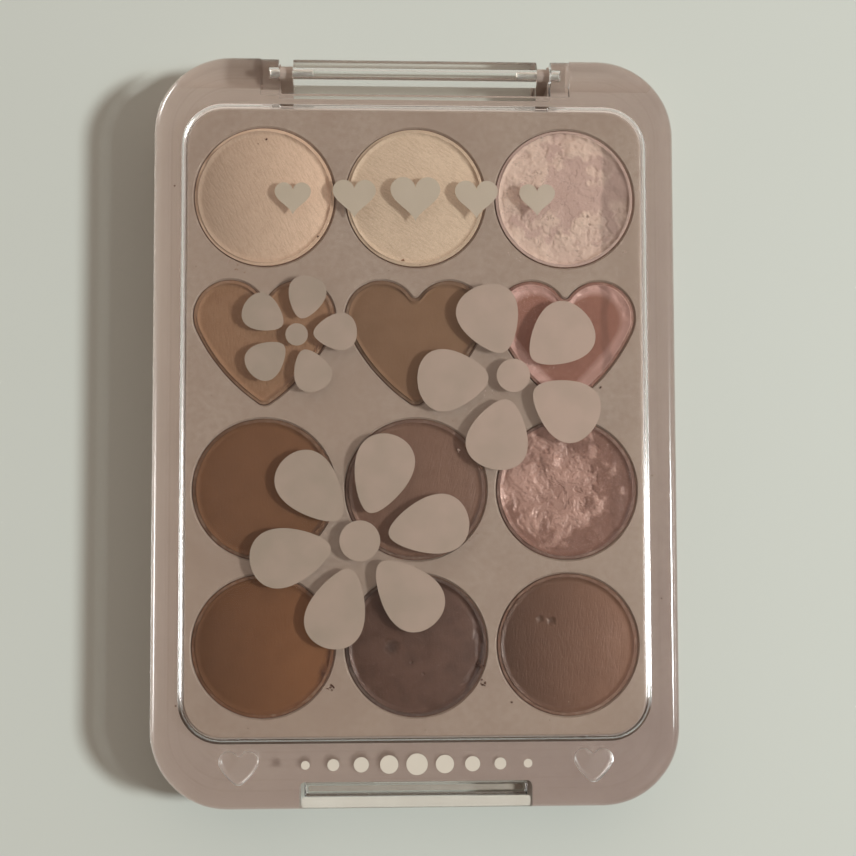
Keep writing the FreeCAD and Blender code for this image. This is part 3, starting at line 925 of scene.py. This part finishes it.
printFilm = {
    "thick": 0.016,
    "sunk": 0.005,  # how far of it lies in the lid
    "roof": 10.2,  # height of the lid's inner face
    "pass": (0.58, 0.58, 0.58, 1.0),  # what each of its faces lets through of the lamps' light
    "fade": (-26, 26, -0.2, 0.7),  # from x to x, share of an ink's second colour there
    "cloud": 0.5,  # how much more of it lies in clouds
}

inkFinish = {
    "softGrey": {"colour": (160, 143, 128), "second": (184, 159, 145), "alpha": 0.92, "rough": 0.5},
    "softCream": {"colour": (188, 173, 154), "second": (196, 180, 163), "alpha": 0.85, "rough": 0.5},
    "offWhite": {"colour": (218, 207, 192), "second": (211, 200, 186), "alpha": 0.97, "rough": 0.5},
    # not print: a pale film that paints a highlight
    "highlightFilmInk": {"colour": (226, 221, 211), "second": (212, 205, 194), "alpha": 0.86, "rough": 0.6},
    # not print: a dim film that paints shade
    "shadeFilmInk": {"colour": (176, 163, 150), "second": (196, 186, 174), "alpha": 0.62, "rough": 0.6},
}

# every daisy: place of its middle, petals, and sizes in mm
daisies = {
    "largeDaisy": {"place": (-8, -16), "petals": 6, "inner": 4.2, "long": 11.6, "wide": 10.0, "middle": 2.9,
                   "turn": 12},
    "middleDaisy": {"place": (14, 7.6), "petals": 5, "inner": 3.6, "long": 10.2, "wide": 10.6, "middle": 2.4,
                    "turn": 40},
    "smallDaisy": {"place": (-17, 13.4), "petals": 5, "inner": 2.4, "long": 6.2, "wide": 6.4, "middle": 1.6,
                   "turn": 4},
}

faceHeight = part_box("lid")[1][2] / mm - printFilm["sunk"]
roofHeight = printFilm["roof"] + printFilm["sunk"] - printFilm["thick"]

# every row: what is repeated, its size and spacing in mm, how often, and how small it gets at the ends
printRows = {
    "heartRow": {"shape": "heart", "wide": 7.2, "count": 5, "pitch": 8.8, "end": 0.72,
                 "place": (0, 33.0), "height": roofHeight, "ink": "softCream"},
    "dotRow": {"shape": "disc", "wide": 3.0, "count": 9, "pitch": 3.9, "end": 0.4,
               "place": (0, -47.2), "height": faceHeight, "ink": "offWhite"},
    # a pale film under the lid's front edge that paints the bright strip seen there
    "lipHighlightFilm": {"shape": "bar", "wide": 32.4, "tall": 0.74, "count": 1, "pitch": 0.0, "end": 1.0,
                 "place": (0, -52.4), "height": 8.086, "ink": "highlightFilmInk"},
    # a dim film on the latch tongue that paints its shade
    "tongueShadeFilm": {"shape": "bar", "wide": 30.6, "tall": 0.8, "count": 1, "pitch": 0.0, "end": 1.0,
                    "place": (0, -51.08), "height": 5.486, "ink": "shadeFilmInk"},
}

filmInputs = {"Film": 0.00002, "Place": (0.0, 0.0, 0.0), "Material": "Material"}
outlineSteps = 72


def makeFilmTree():
    # a flat outline becomes a closed film
    tree, given, result = newGroup("printedFilm", {
        "Geometry": "Geometry", **filmInputs})
    flat = addNode(tree, "GeometryNodeRealizeInstances", {0: given["Geometry"]})
    raised = addNode(tree, "GeometryNodeExtrudeMesh", {
        "Mesh": flat, "Offset Scale": given["Film"], "Individual": False})
    both = addNode(tree, "GeometryNodeJoinGeometry", {0: raised})
    feed(both.inputs[0], addNode(tree, "GeometryNodeFlipFaces", {0: flat}))
    sealed = addNode(tree, "GeometryNodeMergeByDistance", {"Geometry": both, "Distance": 1e-7})
    placed = addNode(tree, "GeometryNodeTransform", {"Geometry": sealed, "Translation": given["Place"]})
    inked = addNode(tree, "GeometryNodeSetMaterial", {"Geometry": placed, "Material": given["Material"]})
    feed(result[0], inked)
    return tree


def finishFilm(tree, flat, given, result):
    values = {key: given[key] for key in filmInputs}
    film = addNode(tree, "GeometryNodeGroup", {"Geometry": flat, **values}, node_tree=printedFilm)
    feed(result[0], film)


def makePetalRing():
    # petals set round a middle disc
    tree, given, result = newGroup("petalRing", {
        "Petals": 6, "Inner Radius": 0.004, "Petal Length": 0.01, "Petal Width": 0.008, "Middle": 0.002,
        "Turn": 0.0, **filmInputs})
    rim = addNode(tree, "GeometryNodeCurvePrimitiveCircle", {"Resolution": 64, "Radius": 1.0})
    x, y = axes(tree, addNode(tree, "GeometryNodeInputPosition"))[:2]
    along = product(tree, remap(tree, x, -1.0, 1.0), given["Petal Length"])
    along = calc(tree, "ADD", along, given["Inner Radius"])
    fuller = remap(tree, x, -1.0, 1.0, 0.26, 0.54)
    across = product(tree, y, fuller, given["Petal Width"])
    shaped = addNode(tree, "ShaderNodeCombineXYZ", {0: along, 1: across})
    petal = addNode(tree, "GeometryNodeSetPosition", {"Geometry": rim, "Position": shaped})
    leaf = addNode(tree, "GeometryNodeFillCurve", {"Curve": petal})
    step = calc(tree, "DIVIDE", 2 * math.pi, given["Petals"])
    angle = product(tree, addNode(tree, "GeometryNodeInputIndex"), step)
    turned = addNode(tree, "ShaderNodeCombineXYZ", {2: calc(tree, "ADD", angle, given["Turn"])})
    points = addNode(tree, "GeometryNodePoints", {"Count": given["Petals"]})
    ring = addNode(tree, "GeometryNodeInstanceOnPoints", {
        "Points": points, "Instance": leaf, "Rotation": turned})
    core = addNode(tree, "GeometryNodeCurvePrimitiveCircle", {"Resolution": 48, "Radius": given["Middle"]})
    flower = addNode(tree, "GeometryNodeJoinGeometry", {0: ring})
    feed(flower.inputs[0], addNode(tree, "GeometryNodeFillCurve", {"Curve": core}))
    finishFilm(tree, flower, given, result)
    return tree


def makePrintRow():
    # one flat outline repeated along a line, smaller towards both ends
    tree, given, result = newGroup("printRow", {
        "Outline": "Geometry", "Count": 5, "Pitch": 0.008, "End Size": 1.0, **filmInputs})
    half = calc(tree, "DIVIDE", calc(tree, "SUBTRACT", given["Count"], 1.0), 2.0)
    step = calc(tree, "SUBTRACT", addNode(tree, "GeometryNodeInputIndex"), half)
    spot = addNode(tree, "ShaderNodeCombineXYZ", {0: product(tree, step, given["Pitch"])})
    points = addNode(tree, "GeometryNodePoints", {"Count": given["Count"], "Position": spot})
    end = calc(tree, "ADD", half, 0.01)
    size = remap(tree, calc(tree, "ABSOLUTE", step), 0.0, end, 1.0, given["End Size"])
    scale = addNode(tree, "ShaderNodeCombineXYZ", {0: size, 1: size, 2: 1.0})
    row = addNode(tree, "GeometryNodeInstanceOnPoints", {
        "Points": points, "Instance": given["Outline"], "Scale": scale})
    finishFilm(tree, row, given, result)
    return tree


def flatOutline(name, look):
    # one flat face: a heart, a disc or a bar with round ends
    shape, wide = look["shape"], look["wide"]
    steps = [2 * math.pi * step / outlineSteps for step in range(outlineSteps)]
    if shape == "heart":
        points = [(16 * math.sin(t) ** 3, 13 * math.cos(t) - 5 * math.cos(2 * t) - 2 * math.cos(3 * t)
                   - math.cos(4 * t)) for t in steps]
        points = [(x * wide / 32, (y + 2.5) * wide / 32) for x, y in reversed(points)]
    elif shape == "disc":
        points = [(wide / 2 * math.cos(t), wide / 2 * math.sin(t)) for t in steps]
    else:
        tall = look["tall"]
        shift = (wide - tall) / 2
        points = [(tall / 2 * math.cos(t) + math.copysign(shift, math.cos(t)), tall / 2 * math.sin(t))
                  for t in steps]
    return newMesh(name, [(x * mm, y * mm, 0) for x, y in points], [list(range(len(points)))])


def makeInk(name, look):
    material, tree, shader = newMaterial(name, {"Alpha": look["alpha"], "Roughness": look["rough"]})
    place = placeInMm(tree)
    side = remap(tree, axes(tree, place)["X"], *printFilm["fade"])
    cloud = remap(tree, noiseAt(tree, place, 0.22, 4.0), 0.3, 0.7, 0.0, printFilm["cloud"])
    share = calc(tree, "ADD", side, cloud)
    colour = blendColour(tree, share, tone(*look["colour"]), tone(*look["second"]))
    feed(shader.inputs["Base Color"], colour)
    skin = placeGroup(tree, mouldGrain, {"Flow Size": 0.2, "Skin Size": 7.0})
    addBump(shader, skin["Height"], 0.1, 0.02 * mm)
    setSurface(tree, letThrough(tree, "Is Shadow Ray", shader, printFilm["pass"]))
    return material


def printPiece(name, tree, mesh, values, look):
    x, y = look["place"]
    grown = grow(name, tree, mesh, {
        **values, "Film": printFilm["thick"] * mm, "Place": (x * mm, y * mm, look["height"] * mm),
        "Material": inks[look["ink"]]})
    newPiece(name, grown, "lid")


printedFilm = makeFilmTree()
petalRing = makePetalRing()
printRow = makePrintRow()
inks = {name: makeInk(name, look) for name, look in inkFinish.items()}
for name, look in daisies.items():
    printPiece(name, petalRing, bpy.data.meshes.new(name), {
        "Petals": look["petals"], "Inner Radius": look["inner"] * mm, "Petal Length": look["long"] * mm,
        "Petal Width": look["wide"] * mm, "Middle": look["middle"] * mm, "Turn": math.radians(look["turn"]),
    }, {**look, "height": roofHeight, "ink": "softGrey"})
for name, look in printRows.items():
    printPiece(name, printRow, flatOutline(name, look), {
        "Count": look["count"], "Pitch": look["pitch"] * mm, "End Size": look["end"]}, look)
print("lid printed")


# Loose crumbs and specks

# every patch: x, y of its middle, how far it spreads, how many crumbs, and their size, in mm
crumbPatches = {
    "crumbsDark": {"colour": (96, 64, 50), "shade": (70, 44, 34), "seed": 3, "patches": [
        (-12.1, -36.8, 0.5, 9, 0.2), (9.2, -33.6, 0.6, 12, 0.26), (9.5, -36.2, 0.5, 7, 0.22),
        (13.6, -39.0, 0.1, 2, 0.22), (-21.5, 42.0, 0.1, 2, 0.2), (-22.7, 41.3, 0.1, 1, 0.17),
        (-13.8, 27.8, 0.3, 3, 0.18), (26.8, 5.9, 0.2, 3, 0.18), (2.0, -42.0, 1.6, 3, 0.1),
        (-6.0, 22.6, 9.0, 6, 0.09), (20.0, -20.2, 7.0, 5, 0.1)]},
    "crumbsTan": {"colour": (166, 130, 106), "shade": (138, 102, 80), "seed": 8, "patches": [
        (7.6, -2.6, 0.6, 10, 0.24), (8.6, -4.0, 0.6, 12, 0.22), (9.3, -5.6, 0.4, 6, 0.18),
        (-1.7, 24.3, 0.25, 3, 0.3), (-24.8, 23.0, 1.2, 6, 0.12)]},
    "crumbsPale": {"colour": (224, 202, 190), "shade": (204, 178, 166), "seed": 5, "patches": [
        (10.5, 5.4, 0.9, 5, 0.11), (6.2, -3.3, 0.3, 3, 0.22), (21.8, -39.0, 0.05, 1, 0.16),
        (29.6, 26.0, 1.2, 6, 0.14), (14.0, 24.4, 1.4, 5, 0.12), (-27.0, 24.6, 0.8, 4, 0.12)]},
}


def makeCrumbScatter():
    # an angular crumb on every point, each turned and stretched its own way
    tree, given, result = newGroup("crumbScatter", {
        "Points": "Geometry", "Seed": 0, "Material": "Material"})
    grain = addNode(tree, "GeometryNodeMeshIcoSphere", {"Radius": 1.0, "Subdivisions": 1})
    turn = addNode(tree, "FunctionNodeRandomValue", {1: (6.28, 6.28, 6.28), "Seed": given["Seed"]},
                   data_type="FLOAT_VECTOR")
    stretch = addNode(tree, "FunctionNodeRandomValue", {
        0: (0.7, 0.5, 0.4), 1: (1.3, 1.0, 0.8), "Seed": given["Seed"]}, data_type="FLOAT_VECTOR")
    size = addNode(tree, "GeometryNodeInputNamedAttribute", {"Name": "size"}, data_type="FLOAT")
    placed = addNode(tree, "GeometryNodeInstanceOnPoints", {
        "Points": given["Points"], "Instance": grain, "Rotation": turn,
        "Scale": scaled(tree, stretch, size.outputs[0])})
    real = addNode(tree, "GeometryNodeRealizeInstances", {0: placed})
    dyed = addNode(tree, "GeometryNodeSetMaterial", {"Geometry": real, "Material": given["Material"]})
    feed(result[0], dyed)
    return tree


def restHeight(x, y):
    # height of the powder, rim or deck under a place, in metres
    top = Vector((x * mm, y * mm, 0.05))
    hits = [tree.ray_cast(top, Vector((0, 0, -1)))[0] for tree in restingFaces]
    return max(hit.z for hit in hits if hit)


def makeCrumbs(name, look):
    luck = random.Random(look["seed"])
    points, sizes = [], []
    for x, y, spread, count, size in look["patches"]:
        for crumb in range(count):
            angle, out = luck.uniform(0, 2 * math.pi), spread * math.sqrt(luck.random())
            own = size * luck.uniform(0.5, 1.1) * mm
            spotX, spotY = x + out * math.cos(angle), y + out * math.sin(angle)
            points.append((spotX * mm, spotY * mm, restHeight(spotX, spotY) + 0.3 * own))
            sizes.append(own)
    mesh = newMesh(name, points, [], size=sizes)
    material = makePowder(name, {**loosePowder, **look})
    newPiece(name, grow(name, crumbScatter, mesh, {"Seed": look["seed"], "Material": material}), "base")


deckNames = [name for name in nodes if name.startswith("pan_") and name != "pan_glue"]
restingFaces = [faceTree(mesh) for mesh in cakes + [nodes[name].data for name in deckNames]]
crumbScatter = makeCrumbScatter()
for name, look in crumbPatches.items():
    makeCrumbs(name, look)
print("crumbs scattered")
